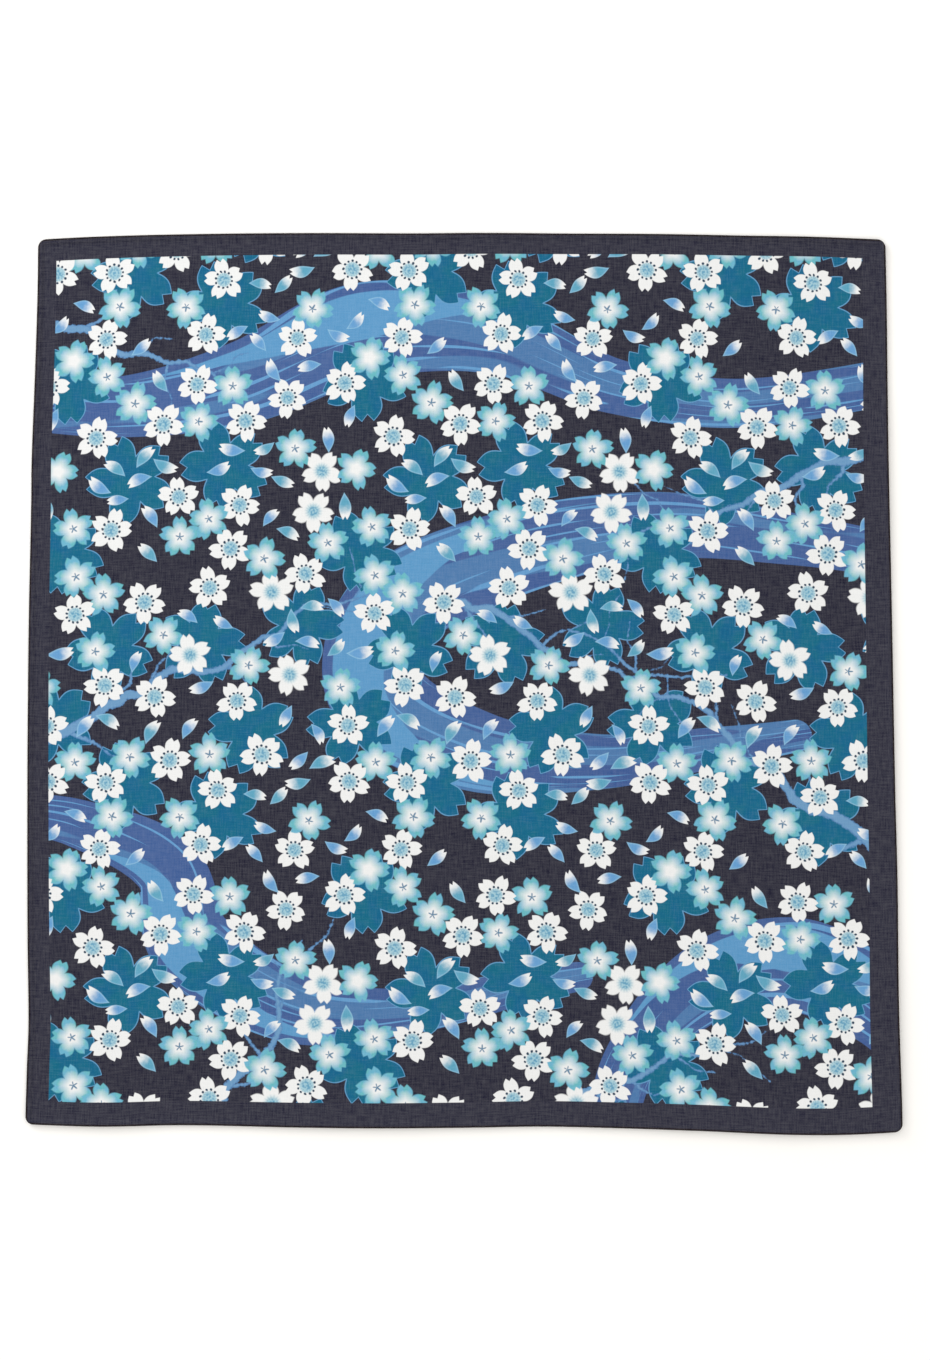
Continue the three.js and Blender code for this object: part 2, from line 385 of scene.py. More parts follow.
def addAttribute(mesh, name, values, kind="FLOAT_VECTOR", domain="CORNER"):
    made = mesh.attributes.new(name, kind, domain)
    made.data.foreach_set("value" if kind == "FLOAT" else "vector", np.asarray(values, np.float32).ravel())


# The flat map: the printed side over most of it, its rim just outside, and the underside in a strip.
flatMap = {"strip": 0.12, "gap": 0.012, "margin": 1.2, "rim": 0.9}


def mapFlat(mesh, loops):
    size, radius = np.array((lay["width"], lay["length"])), lay["cornerRadius"]
    outward = flat - np.clip(flat, radius, size - radius)
    outward /= np.maximum(np.hypot(*outward.T), 1e-9)[:, None]
    spots, top = flat[loops].reshape(-1, 4, 2), onTop[loops].reshape(-1, 4)
    rim = top.any(axis=1) & ~top.all(axis=1)
    pushed = (rim[:, None] & ~top)[:, :, None] * flatMap["rim"] * outward[loops].reshape(-1, 4, 2)
    place = (spots + pushed + flatMap["margin"]) / (size + 2 * flatMap["margin"])
    under = ~top.any(axis=1)
    strip = flatMap["strip"]
    place[under, :, 1] *= strip - flatMap["gap"]
    place[~under, :, 1] = strip + place[~under, :, 1] * (1 - strip)
    mesh.uv_layers.new(name="OFBake").uv.foreach_set("vector", place.astype(np.float32).ravel())


def marginOf(side, share):
    first, last = field[side]
    return first * (1 - share) + last * share


def printCloth(mesh):
    loops = np.empty(len(mesh.loops), np.int32)
    mesh.loops.foreach_get("vertex_index", loops)
    mapFlat(mesh, loops)
    corners = flat[loops].reshape(-1, 4, 2)
    s, t = flat[:, 0] / lay["width"], flat[:, 1] / lay["length"]
    x, y = flat[:, 0], flat[:, 1]
    fromSides = np.minimum(x - marginOf("left", t), lay["width"] - x - marginOf("right", t))
    fromEnds = np.minimum(y - marginOf("near", s), lay["length"] - y - marginOf("far", s))
    addAttribute(mesh, "clothSpot", np.column_stack((flat, onTop)), domain="POINT")
    addAttribute(mesh, "printEdge", np.column_stack((fromSides, fromEnds, inset)), domain="POINT")

    across, along, half, crescent, inside = beside(streams, corners)
    addAttribute(mesh, "stream", np.stack((along, (across / half + 1) / 2, crescent), axis=2))
    addAttribute(mesh, "bank", inside, kind="FLOAT")
    for name, runs in zip(("bough", "twig"), growBoughs()):
        across, _, half, crescent, inside = beside(runs, corners, kneed=True)
        wood = np.stack((across, half, crescent), axis=2)
        wood[inside.max(axis=1) < -growth["reach"]] = (99, 0, 0)  # far off any bough
        addAttribute(mesh, name, wood)
    small, large = drawMotifs()
    for i, layer in enumerate(small):
        addAttribute(mesh, f"small{i}", insideMotif(layer, corners))
    for i, layer in enumerate(large):
        addAttribute(mesh, f"large{i}", insideMotif(layer, corners))
    print("print laid on:", [len(layer) for layer in small], "small motifs and",
          [len(layer) for layer in large], "large ones in a repeat")


printCloth(mesh)


def srgb(code):  # a hex colour as linear values
    parts = [int(code[i:i + 2], 16) / 255 for i in (1, 3, 5)]
    return [p / 12.92 if p <= 0.04045 else ((p + 0.055) / 1.055) ** 2.4 for p in parts] + [1]


def add(tree, kind, inputs=None, **settings):  # one node, with its settings and links
    made = tree.nodes.new("ShaderNode" + kind)
    for name, value in settings.items():
        setattr(made, name, value)
    for key, value in (inputs or {}).items():
        if isinstance(value, bpy.types.Node):
            value = next(socket for socket in value.outputs if socket.enabled)
        if isinstance(value, bpy.types.NodeSocket):
            tree.links.new(value, made.inputs[key])
        else:
            made.inputs[key].default_value = value
    return made


def newGroup(name, outputs):
    tree = bpy.data.node_groups.new(name, "ShaderNodeTree")
    tree.interface.new_socket("Place", in_out="INPUT", socket_type="NodeSocketVector")
    for output, kind in outputs:
        tree.interface.new_socket(output, in_out="OUTPUT", socket_type="NodeSocket" + kind)
    return tree, tree.nodes.new("NodeGroupInput"), tree.nodes.new("NodeGroupOutput")


def shapeCurve(node, rows):
    curve = node.mapping.curves[0]
    while len(curve.points) < len(rows):
        curve.points.new(0.5, 0.5)
    for point, row in zip(curve.points, rows):
        point.location = row
    node.mapping.update()


# Half width of a petal along its length, in parts of the blossom's radius or of the loose petal's
# length. The notch at its tip starts at a depth and opens at a slope. A blossom's drawing wanders
# by a part of its radius.
petalShapes = {
    "small": {"halfWidth": ((0, 0.35), (0.42, 0.318), (0.52, 0.338), (0.65, 0.346), (0.76, 0.325),
                            (0.86, 0.27), (0.94, 0.203), (1, 0.155)),
              "notch": 0.86, "slope": 1.05, "wander": 0.035},
    "large": {"halfWidth": ((0, 0.36), (0.45, 0.332), (0.56, 0.35), (0.68, 0.352), (0.8, 0.315),
                            (0.9, 0.245), (1, 0.15)),
              "notch": 0.85, "slope": 1.1, "wander": 0.03},
    "loose": {"halfWidth": ((0, 0), (0.1, 0.055), (0.25, 0.138), (0.4, 0.2), (0.52, 0.224), (0.64, 0.222),
                            (0.76, 0.194), (0.87, 0.152), (0.95, 0.11), (1, 0.08)),
              "notch": 0.88, "slope": 1.6},
}


def silhouetteGroup(shape):  # how far inside a five-petalled blossom a spot is
    outputs = (("Inside", "Float"), ("Radius", "Float"), ("Angle", "Float"))
    tree, given, result = newGroup("fivePetals", outputs)
    place = add(tree, "SeparateXYZ", {0: given.outputs["Place"]})
    flatPlace = add(tree, "CombineXYZ", {"X": place.outputs["X"], "Y": place.outputs["Y"]})
    crossed = add(tree, "CombineXYZ", {"X": place.outputs["Y"], "Y": place.outputs["X"]})
    own = add(tree, "VectorMath", {0: (47, 83, 0), "Scale": place.outputs["Z"]}, operation="SCALE")
    drift = add(tree, "VectorMath", {0: crossed, 1: (2.9, 3.3, 0), 2: own}, operation="MULTIPLY_ADD")
    drift = add(tree, "VectorMath", {0: drift}, operation="SINE")
    wander = (shape["wander"], shape["wander"], 0)
    drawn = add(tree, "VectorMath", {0: drift, 1: wander, 2: flatPlace}, operation="MULTIPLY_ADD")
    reach = add(tree, "VectorMath", {0: drawn}, operation="LENGTH")
    drawn = add(tree, "SeparateXYZ", {0: drawn})
    radius = add(tree, "VectorMath", {0: flatPlace}, operation="LENGTH")
    angle = add(tree, "Math", {0: drawn.outputs["Y"], 1: drawn.outputs["X"]}, operation="ARCTAN2")
    fold = add(tree, "Math", {0: angle, 1: math.pi / 5}, operation="PINGPONG")
    cos = add(tree, "Math", {0: fold}, operation="COSINE")
    sin = add(tree, "Math", {0: fold}, operation="SINE")
    ahead = add(tree, "Math", {0: reach.outputs["Value"], 1: cos}, operation="MULTIPLY")
    aside = add(tree, "Math", {0: reach.outputs["Value"], 1: sin}, operation="MULTIPLY")
    inside = petalInside(tree, ahead, aside, shape)
    tree.links.new(inside.outputs[0], result.inputs["Inside"])
    tree.links.new(radius.outputs["Value"], result.inputs["Radius"])
    tree.links.new(angle.outputs[0], result.inputs["Angle"])
    return tree


def petalInside(tree, ahead, aside, shape):  # distance in from a petal's sides, its notch and its tip
    half = add(tree, "FloatCurve", {"Value": ahead})
    shapeCurve(half, shape["halfWidth"])
    side = add(tree, "Math", {0: half, 1: aside}, operation="SUBTRACT")
    notch = add(tree, "Math", {0: aside, 1: shape["slope"], 2: shape["notch"]}, operation="MULTIPLY_ADD")
    notch = add(tree, "Math", {0: notch, 1: ahead}, operation="SUBTRACT")
    inside = add(tree, "Math", {0: side, 1: notch}, operation="MINIMUM")
    tip = add(tree, "Math", {0: 1.0, 1: ahead}, operation="SUBTRACT")
    return add(tree, "Math", {0: inside, 1: tip}, operation="MINIMUM")


smallLook = {
    "white": srgb("#e2e4e6"), "disc": srgb("#99c0cf"), "discDark": srgb("#649ab8"), "mint": srgb("#bfd7db"),
    "stamen": srgb("#2a4157"), "stamens": 12, "ring": 0.41, "stamenSize": (0.075, 0.045),
    "aqua": srgb("#68abc6"), "aquaGreen": srgb("#64afba"), "star": srgb("#557997"),
    "petalBlue": srgb("#6197c8"), "petalBase": srgb("#72a6cb"), "petalGreen": srgb("#599cb8"),
    "petalRim": srgb("#93bfd9"),
}


def smallMotifGroup(silhouette):
    tree, given, result = newGroup("smallMotif", (("Color", "Color"), ("Cover", "Float")))
    look = smallLook
    place = given.outputs["Place"]
    parts = add(tree, "SeparateXYZ", {0: place})
    code = parts.outputs["Z"]
    shape = add(tree, "Group", {"Place": place}, node_tree=silhouette)
    inside, radius, angle = (shape.outputs[name] for name in ("Inside", "Radius", "Angle"))
    own = add(tree, "VectorMath", {0: (31, 17, 0), "Scale": code}, operation="SCALE")
    own = add(tree, "VectorMath", {0: place, 1: own}, operation="ADD")
    patch = add(tree, "TexNoise", {"Vector": own, "Scale": 2.6, "Detail": 2.0}, noise_dimensions="2D")
    patchy = add(tree, "MapRange", {"Value": patch.outputs["Fac"], "From Min": 0.42, "From Max": 0.6})

    # White blossoms: a washed blue disc, in a ring of dark stamen tips.
    fleck = add(tree, "TexNoise", {"Vector": own, "Scale": 9.0, "Detail": 0.0}, noise_dimensions="2D")
    fleck = add(tree, "MapRange", {"Value": fleck.outputs["Fac"], "From Min": 0.35, "From Max": 0.65})
    discTone = add(tree, "MixRGB", {"Fac": fleck, "Color1": look["discDark"], "Color2": look["disc"]})
    discRim = add(tree, "MapRange", {"Value": radius, "From Min": 0.18, "From Max": 0.38})
    discTone = add(tree, "MixRGB", {"Fac": discRim, "Color1": discTone, "Color2": look["mint"]})
    rays = add(tree, "Math", {0: angle, 1: math.pi / 17}, operation="PINGPONG")
    rays = add(tree, "MapRange", {"Value": rays, "From Min": 0.15, "From Max": 0.03, "To Max": 0.7})
    rays = add(tree, "Math", {0: rays, 1: discRim}, operation="MULTIPLY")
    discTone = add(tree, "MixRGB", {"Fac": rays, "Color1": discTone, "Color2": look["discDark"]})
    disc = add(tree, "MapRange", {"Value": radius, "From Min": 0.4, "From Max": 0.3},
               interpolation_type="SMOOTHSTEP")
    stamens = add(tree, "MixRGB", {"Fac": disc, "Color1": look["white"], "Color2": discTone})
    ring = add(tree, "Math", {0: angle, 1: math.pi / look["stamens"]}, operation="PINGPONG")
    ringAside = add(tree, "Math", {0: ring, 1: look["ring"]}, operation="MULTIPLY")
    ringWobble = add(tree, "Math", {0: patch.outputs["Fac"], 1: 0.12, 2: look["ring"] - 0.06},
                     operation="MULTIPLY_ADD")
    ringAhead = add(tree, "Math", {0: radius, 1: ringWobble}, operation="SUBTRACT")
    ringSpot = add(tree, "CombineXYZ", {"X": ringAside, "Y": ringAhead})
    ringSpot = add(tree, "VectorMath", {0: ringSpot}, operation="LENGTH")
    dots = add(tree, "MapRange", {"Value": ringSpot.outputs["Value"], "From Min": look["stamenSize"][0],
                                  "From Max": look["stamenSize"][1]})
    stamens = add(tree, "MixRGB", {"Fac": dots, "Color1": stamens, "Color2": look["stamen"]})

    # Aqua blossoms: a white glow in the middle, with or without a small star of strokes.
    aqua = add(tree, "MixRGB", {"Fac": patchy, "Color1": look["aqua"], "Color2": look["aquaGreen"]})
    glowReach = add(tree, "Math", {0: inside, 1: -0.45, 2: radius}, operation="MULTIPLY_ADD")
    glow = add(tree, "MapRange", {"Value": glowReach, "From Min": 0.68, "From Max": 0.1})
    glowing = add(tree, "MixRGB", {"Fac": glow, "Color1": aqua, "Color2": look["white"]})
    strokes = add(tree, "Math", {0: angle, 1: math.pi / 5}, operation="PINGPONG")
    strokes = add(tree, "Math", {0: strokes, 1: radius}, operation="MULTIPLY")
    strokes = add(tree, "MapRange", {"Value": strokes, "From Min": 0.05, "From Max": 0.01})
    starReach = add(tree, "MapRange", {"Value": radius, "From Min": 0.24, "From Max": 0.17})
    star = add(tree, "Math", {0: strokes, 1: starReach}, operation="MULTIPLY")
    starred = add(tree, "MixRGB", {"Fac": star, "Color1": glowing, "Color2": look["star"]})

    # Soft blossoms: white, with a blurred blue middle.
    blur = add(tree, "MapRange", {"Value": radius, "From Min": 0.5, "From Max": 0.2},
               interpolation_type="SMOOTHSTEP")
    soft = add(tree, "MixRGB", {"Fac": blur, "Color1": look["white"], "Color2": discTone})

    # Loose petals, from a pointed base at X -1 to a notched white tip at X 1.
    ahead = add(tree, "Math", {0: parts.outputs["X"], 1: 0.5, 2: 0.5}, operation="MULTIPLY_ADD")
    bow = add(tree, "Math", {0: code, 1: 40.0}, operation="MULTIPLY")
    bow = add(tree, "Math", {0: bow}, operation="SINE")
    bent = add(tree, "Math", {0: parts.outputs["X"], 1: parts.outputs["X"]}, operation="MULTIPLY")
    bent = add(tree, "Math", {0: bent, 1: 0.22, 2: -0.07}, operation="MULTIPLY_ADD")
    bent = add(tree, "Math", {0: bent, 1: bow}, operation="MULTIPLY")
    aside = add(tree, "Math", {0: parts.outputs["Y"], 1: bent}, operation="ADD")
    aside = add(tree, "Math", {0: aside}, operation="ABSOLUTE")
    aside = add(tree, "Math", {0: aside, 1: 0.5}, operation="MULTIPLY")
    petal = petalInside(tree, ahead, aside, petalShapes["loose"])
    isGreen = add(tree, "Math", {0: code, 1: 6.0}, operation="GREATER_THAN")
    petalTone = add(tree, "MixRGB", {"Fac": isGreen, "Color1": look["petalBlue"],
                                     "Color2": look["petalGreen"]})
    base = add(tree, "MapRange", {"Value": ahead, "From Min": 0.3, "From Max": 0.05, "To Max": 0.7})
    petalTone = add(tree, "MixRGB", {"Fac": base, "Color1": petalTone, "Color2": look["petalBase"]})
    rim = add(tree, "MapRange", {"Value": petal, "From Min": 0.07, "From Max": 0.01, "To Max": 0.7})
    petalTone = add(tree, "MixRGB", {"Fac": rim, "Color1": petalTone, "Color2": look["petalRim"]})
    fadeFrom = add(tree, "Math", {0: patch.outputs["Fac"], 1: 0.2, 2: ahead}, operation="MULTIPLY_ADD")
    fade = add(tree, "MapRange", {"Value": fadeFrom, "From Min": 0.52, "From Max": 1.0},
               interpolation_type="SMOOTHSTEP")
    petalTone = add(tree, "MixRGB", {"Fac": fade, "Color1": petalTone, "Color2": look["white"]})

    isPetal = add(tree, "Math", {0: code, 1: 5.0}, operation="GREATER_THAN")
    isGlow = add(tree, "Math", {0: code, 1: 4.0}, operation="GREATER_THAN")
    isSoft = add(tree, "Math", {0: code, 1: 3.0}, operation="GREATER_THAN")
    isStar = add(tree, "Math", {0: code, 1: 2.0}, operation="GREATER_THAN")
    colour = add(tree, "MixRGB", {"Fac": isStar, "Color1": stamens, "Color2": starred})
    colour = add(tree, "MixRGB", {"Fac": isSoft, "Color1": colour, "Color2": soft})
    colour = add(tree, "MixRGB", {"Fac": isGlow, "Color1": colour, "Color2": glowing})
    colour = add(tree, "MixRGB", {"Fac": isPetal, "Color1": colour, "Color2": petalTone})

    inside = add(tree, "Math", {0: isStar, 1: 0.02, 2: inside}, operation="MULTIPLY_ADD")
    softEdge = add(tree, "Math", {0: isStar, 1: 0.03, 2: 0.022}, operation="MULTIPLY_ADD")
    blossomCover = add(tree, "MapRange", {"Value": inside, "From Min": -0.016, "From Max": softEdge})
    petalCover = add(tree, "MapRange", {"Value": petal, "From Min": -0.01, "From Max": 0.018})
    cover = add(tree, "Mix", {0: isPetal, 2: blossomCover, 3: petalCover})
    drawn = add(tree, "Math", {0: code, 1: 0.5}, operation="GREATER_THAN")
    cover = add(tree, "Math", {0: cover, 1: drawn}, operation="MULTIPLY")
    tree.links.new(colour.outputs[0], result.inputs["Color"])
    tree.links.new(cover.outputs[0], result.inputs["Cover"])
    return tree


largeLook = {"fill": srgb("#0b6087"), "fillGreen": srgb("#0f6581"), "outline": srgb("#5f96c0")}


def largeMotifGroup(silhouette):
    tree, given, result = newGroup("largeMotif", (("Color", "Color"), ("Cover", "Float")))
    place = given.outputs["Place"]
    shape = add(tree, "Group", {"Place": place}, node_tree=silhouette)
    wash = add(tree, "TexNoise", {"Vector": place, "Scale": 1.6, "Detail": 2.0}, noise_dimensions="2D")
    wash = add(tree, "MapRange", {"Value": wash.outputs["Fac"], "From Min": 0.4, "From Max": 0.62})
    fill = add(tree, "MixRGB", {"Fac": wash, "Color1": largeLook["fill"], "Color2": largeLook["fillGreen"]})
    line = add(tree, "MapRange", {"Value": shape.outputs["Inside"], "From Min": 0.032, "From Max": 0.018})
    colour = add(tree, "MixRGB", {"Fac": line, "Color1": fill, "Color2": largeLook["outline"]})
    cover = add(tree, "MapRange", {"Value": shape.outputs["Inside"], "From Min": -0.006, "From Max": 0.008})
    code = add(tree, "SeparateXYZ", {0: place})
    drawn = add(tree, "Math", {0: code.outputs["Z"], 1: 0.5}, operation="GREATER_THAN")
    cover = add(tree, "Math", {0: cover, 1: drawn}, operation="MULTIPLY")
    tree.links.new(colour.outputs[0], result.inputs["Color"])
    tree.links.new(cover.outputs[0], result.inputs["Cover"])
    return tree


# Screen-printed cotton lawn: a fine plain weave of slubby yarn, dyed charcoal and printed in flat
# colours, so it is matt, with a faint nap and a cross-hatch of lighter and darker threads.
cottonLook = {
    # The edge colour is painted shade, laid along the hem's outer rim where it turns down to the floor.
    "ground": srgb("#2c2c3a"), "border": srgb("#30303e"), "edge": srgb("#1a0f13"), "back": srgb("#4b4852"),
    "indigo": srgb("#476397"), "indigoDeep": srgb("#3c568d"), "line": srgb("#5f94c4"),
    "crescent": srgb("#5992c0"),
    "bough": srgb("#6894bc"), "boughDeep": srgb("#537fb0"),
    "threadSpacing": 0.9,  # lawn has a thread every 0.4 mm: drawn twice as coarse, to show
    "slubWidth": 0.8, "slubLength": 8, "threadContrast": 0.015, "threadHeight": 0.08,
    "roughness": 0.88, "sheen": 0.05, "specular": 0.25,
}


def printedCotton():
    material = bpy.data.materials.new("printedCottonLawn")
    material.use_nodes = True
    tree = material.node_tree
    look = cottonLook
    shader = tree.nodes["Principled BSDF"]
    smallGroup = smallMotifGroup(silhouetteGroup(petalShapes["small"]))
    largeGroup = largeMotifGroup(silhouetteGroup(petalShapes["large"]))

    spot = add(tree, "Attribute", attribute_name="clothSpot")
    edge = add(tree, "Attribute", attribute_name="printEdge")
    spotParts = add(tree, "SeparateXYZ", {0: spot.outputs["Vector"]})
    edgeParts = add(tree, "SeparateXYZ", {0: edge.outputs["Vector"]})

    # Streams, with tapering flow lines and a crescent on the outside of each bend.
    stream = add(tree, "Attribute", attribute_name="stream")
    streamParts = add(tree, "SeparateXYZ", {0: stream.outputs["Vector"]})
    along, across, crescent = (streamParts.outputs[name] for name in "XYZ")
    slow = add(tree, "CombineXYZ", {"X": along, "Y": across})
    bendNoise = add(tree, "VectorMath", {0: slow, 1: (0.009, 2.2, 1)}, operation="MULTIPLY")
    bendNoise = add(tree, "TexNoise", {"Vector": bendNoise, "Scale": 1.0, "Detail": 0.0},
                    noise_dimensions="2D")
    swayed = add(tree, "Math", {0: bendNoise.outputs["Fac"], 1: 0.22, 2: across}, operation="MULTIPLY_ADD")
    spaced = add(tree, "Math", {0: swayed, 1: 1 / 15}, operation="PINGPONG")
    taper = add(tree, "VectorMath", {0: slow, 1: (0.016, 9, 1)}, operation="MULTIPLY")
    taper = add(tree, "TexNoise", {"Vector": taper, "Scale": 1.0, "Detail": 0.0}, noise_dimensions="2D")
    taper = add(tree, "MapRange", {"Value": taper.outputs["Fac"], "From Min": 0.4, "From Max": 0.72,
                                   "To Min": -0.004, "To Max": 0.021})
    line = add(tree, "Math", {0: taper, 1: spaced}, operation="SUBTRACT")
    line = add(tree, "MapRange", {"Value": line, "From Min": -0.003, "From Max": 0.003})
    onLeft = add(tree, "Math", {0: crescent, 1: 0.0}, operation="GREATER_THAN")
    fromFar = add(tree, "Math", {0: 1.0, 1: across}, operation="SUBTRACT")
    outer = add(tree, "Mix", {0: onLeft, 2: fromFar, 3: across})
    depth = add(tree, "Math", {0: crescent}, operation="ABSOLUTE")
    inner = add(tree, "Math", {0: depth, 1: -0.55, 2: 0.9}, operation="MULTIPLY_ADD")
    moonIn = add(tree, "Math", {0: outer, 1: inner}, operation="SUBTRACT")
    moonOut = add(tree, "Math", {0: 0.9, 1: outer}, operation="SUBTRACT")
    moon = add(tree, "Math", {0: moonIn, 1: moonOut}, operation="MINIMUM")
    moon = add(tree, "MapRange", {"Value": moon, "From Min": 0.0, "From Max": 0.012})
    bank = add(tree, "Attribute", attribute_name="bank")
    streamCover = add(tree, "MapRange", {"Value": bank.outputs["Fac"], "From Min": -0.2, "From Max": 0.2})
    wash = add(tree, "VectorMath", {0: spot.outputs["Vector"], 1: (0.02, 0.02, 1)}, operation="MULTIPLY")
    wash = add(tree, "TexNoise", {"Vector": wash, "Scale": 1.0, "Detail": 1.0}, noise_dimensions="2D")
    indigo = add(tree, "MixRGB", {"Fac": wash.outputs["Fac"], "Color1": look["indigo"],
                                  "Color2": look["indigoDeep"]})
    shallow = add(tree, "VectorMath", {0: slow, 1: (0.007, 2.6, 1)}, operation="MULTIPLY")
    shallow = add(tree, "TexNoise", {"Vector": shallow, "Scale": 1.0, "Detail": 0.0}, noise_dimensions="2D")
    shallow = add(tree, "MapRange", {"Value": shallow.outputs["Fac"], "From Min": 0.52, "From Max": 0.545,
                                     "To Max": 0.38})
    indigo = add(tree, "MixRGB", {"Fac": shallow, "Color1": indigo, "Color2": look["crescent"]})
    water = add(tree, "MixRGB", {"Fac": line, "Color1": indigo, "Color2": look["line"]})
    water = add(tree, "MixRGB", {"Fac": moon, "Color1": water, "Color2": look["crescent"]})
    colour = add(tree, "MixRGB", {"Fac": streamCover, "Color1": look["ground"], "Color2": water})

    for i in range(repeat["largeLayers"]):
        source = add(tree, "Attribute", attribute_name=f"large{i}")
        motif = add(tree, "Group", {"Place": source.outputs["Vector"]}, node_tree=largeGroup)
        colour = add(tree, "MixRGB", {"Fac": motif.outputs["Cover"], "Color1": colour,
                                      "Color2": motif.outputs["Color"]})

    # Boughs and twigs, with a ragged soft edge.
    rough = add(tree, "VectorMath", {0: spot.outputs["Vector"], 1: (0.42, 0.42, 1)}, operation="MULTIPLY")
    rough = add(tree, "TexNoise", {"Vector": rough, "Scale": 1.0, "Detail": 2.0}, noise_dimensions="2D")
    rough = add(tree, "Math", {0: rough.outputs["Fac"], 1: 2.4, 2: -1.2}, operation="MULTIPLY_ADD")
    for name in ("twig", "bough"):
        source = add(tree, "Attribute", attribute_name=name)
        wood = add(tree, "SeparateXYZ", {0: source.outputs["Vector"]})
        aside = add(tree, "Math", {0: wood.outputs["X"]}, operation="ABSOLUTE")
        inside = add(tree, "Math", {0: wood.outputs["Y"], 1: aside}, operation="SUBTRACT")
        inside = add(tree, "Math", {0: inside, 1: rough}, operation="ADD")
        cover = add(tree, "MapRange", {"Value": inside, "From Min": -0.45, "From Max": 0.5},
                    interpolation_type="SMOOTHSTEP")
        core = add(tree, "MapRange", {"Value": inside, "From Min": 0.2, "From Max": 1.1})
        bark = add(tree, "MixRGB", {"Fac": core, "Color1": look["boughDeep"], "Color2": look["bough"]})
        colour = add(tree, "MixRGB", {"Fac": cover, "Color1": colour, "Color2": bark})

    for i in range(repeat["layers"]):
        source = add(tree, "Attribute", attribute_name=f"small{i}")
        motif = add(tree, "Group", {"Place": source.outputs["Vector"]}, node_tree=smallGroup)
        colour = add(tree, "MixRGB", {"Fac": motif.outputs["Cover"], "Color1": colour,
                                      "Color2": motif.outputs["Color"]})

    printed = add(tree, "Math", {0: edgeParts.outputs["X"], 1: edgeParts.outputs["Y"]}, operation="MINIMUM")
    printed = add(tree, "MapRange", {"Value": printed, "From Min": -0.15, "From Max": 0.15})
    colour = add(tree, "MixRGB", {"Fac": printed, "Color1": look["border"], "Color2": colour})
    # Painted shade: the colour darkens to the edge colour over the outer 1.5 mm, where the rolled hem turns
    # down into shade.
    edgeShade = add(tree, "MapRange", {"Value": edgeParts.outputs["Z"], "From Min": 1.5, "From Max": 0.7})
    colour = add(tree, "MixRGB", {"Fac": edgeShade, "Color1": colour, "Color2": look["edge"]})

    # The back shows the dyed ground, with the print faint through it.
    through = add(tree, "MapRange", {"Value": spotParts.outputs["Z"], "To Min": 0.3, "To Max": 1.0})
    colour = add(tree, "MixRGB", {"Fac": through, "Color1": look["back"], "Color2": colour})

    # Slubs run along the threads both ways, and the threads cross over and under.
    slub = 1 / look["slubWidth"]
    run = 1 / look["slubLength"]
    warp = add(tree, "VectorMath", {0: spot.outputs["Vector"], 1: (slub, run, 5)}, operation="MULTIPLY")
    warp = add(tree, "TexNoise", {"Vector": warp, "Scale": 1.0, "Detail": 2.0}, noise_dimensions="2D")
    weft = add(tree, "VectorMath", {0: spot.outputs["Vector"], 1: (run, slub, 7)}, operation="MULTIPLY")
    weft = add(tree, "TexNoise", {"Vector": weft, "Scale": 1.0, "Detail": 2.0}, noise_dimensions="2D")
    slubs = add(tree, "Math", {0: warp.outputs["Fac"], 1: weft.outputs["Fac"]}, operation="ADD")
    pitch = math.pi / look["threadSpacing"]
    warpWave = add(tree, "Math", {0: spotParts.outputs["X"], 1: pitch}, operation="MULTIPLY")
    warpWave = add(tree, "Math", {0: warpWave}, operation="SINE")
    weftWave = add(tree, "Math", {0: spotParts.outputs["Y"], 1: pitch}, operation="MULTIPLY")
    weftWave = add(tree, "Math", {0: weftWave}, operation="SINE")
    crossing = add(tree, "Math", {0: warpWave, 1: weftWave}, operation="MULTIPLY")
    thread = add(tree, "Math", {0: crossing, 1: 0.07, 2: slubs}, operation="MULTIPLY_ADD")
    thread = add(tree, "MapRange", {"Value": thread, "From Min": 0.7, "From Max": 1.3}, clamp=False)
    colour = add(tree, "MixRGB", {"Fac": look["threadContrast"], "Color1": colour, "Color2": thread},
                 blend_type="LINEAR_LIGHT")

    tree.links.new(colour.outputs[0], shader.inputs["Base Color"])
    shader.inputs["Roughness"].default_value = look["roughness"]
    shader.inputs["Sheen Weight"].default_value = look["sheen"]
    shader.inputs["Sheen Roughness"].default_value = 0.5
    shader.inputs["Specular IOR Level"].default_value = look["specular"]
    bump = add(tree, "Bump", {"Strength": 0.5, "Distance": look["threadHeight"] * mm, "Height": thread})
    tree.links.new(bump.outputs[0], shader.inputs["Normal"])
    return material


cloth = bpy.data.objects.new("printedCloth", mesh)
bpy.context.scene.collection.objects.link(cloth)
mesh.materials.append(printedCotton())
mesh.shade_smooth()
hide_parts("cloth")
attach(cloth, "root")
print("cloth dyed and printed")

# The hem's row of lockstitches, on the printed side and on the underside.
stitch = {"inset": 2.45, "pitch": 3.1, "length": 2.5, "width": 0.34, "thickness": 0.2,
          "colour": srgb("#2b2a38"), "roughness": 0.55, "twist": 1 / 3, "plyDepth": 0.03,
          "batch": 60}  # stitches made at a time: a long mesh takes each new one more slowly


def sewRow(rowMesh, ends):  # a stitch is a small ball drawn out between its two ends
    bm = bmesh.new()
    for start, end in zip(*ends.tolist()):
        way, middle = Vector(end) - Vector(start), (Vector(end) + Vector(start)) / 2
        turn = way.to_track_quat("X", "Z").to_matrix().to_4x4()
        scale = Matrix.Diagonal((way.length / 2, stitch["width"] * mm / 2, stitch["thickness"] * mm / 2, 1))
        shape = Matrix.Translation(middle) @ turn @ scale
        bmesh.ops.create_icosphere(bm, subdivisions=1, radius=1, matrix=shape)
    bm.to_mesh(rowMesh)
    bm.free()


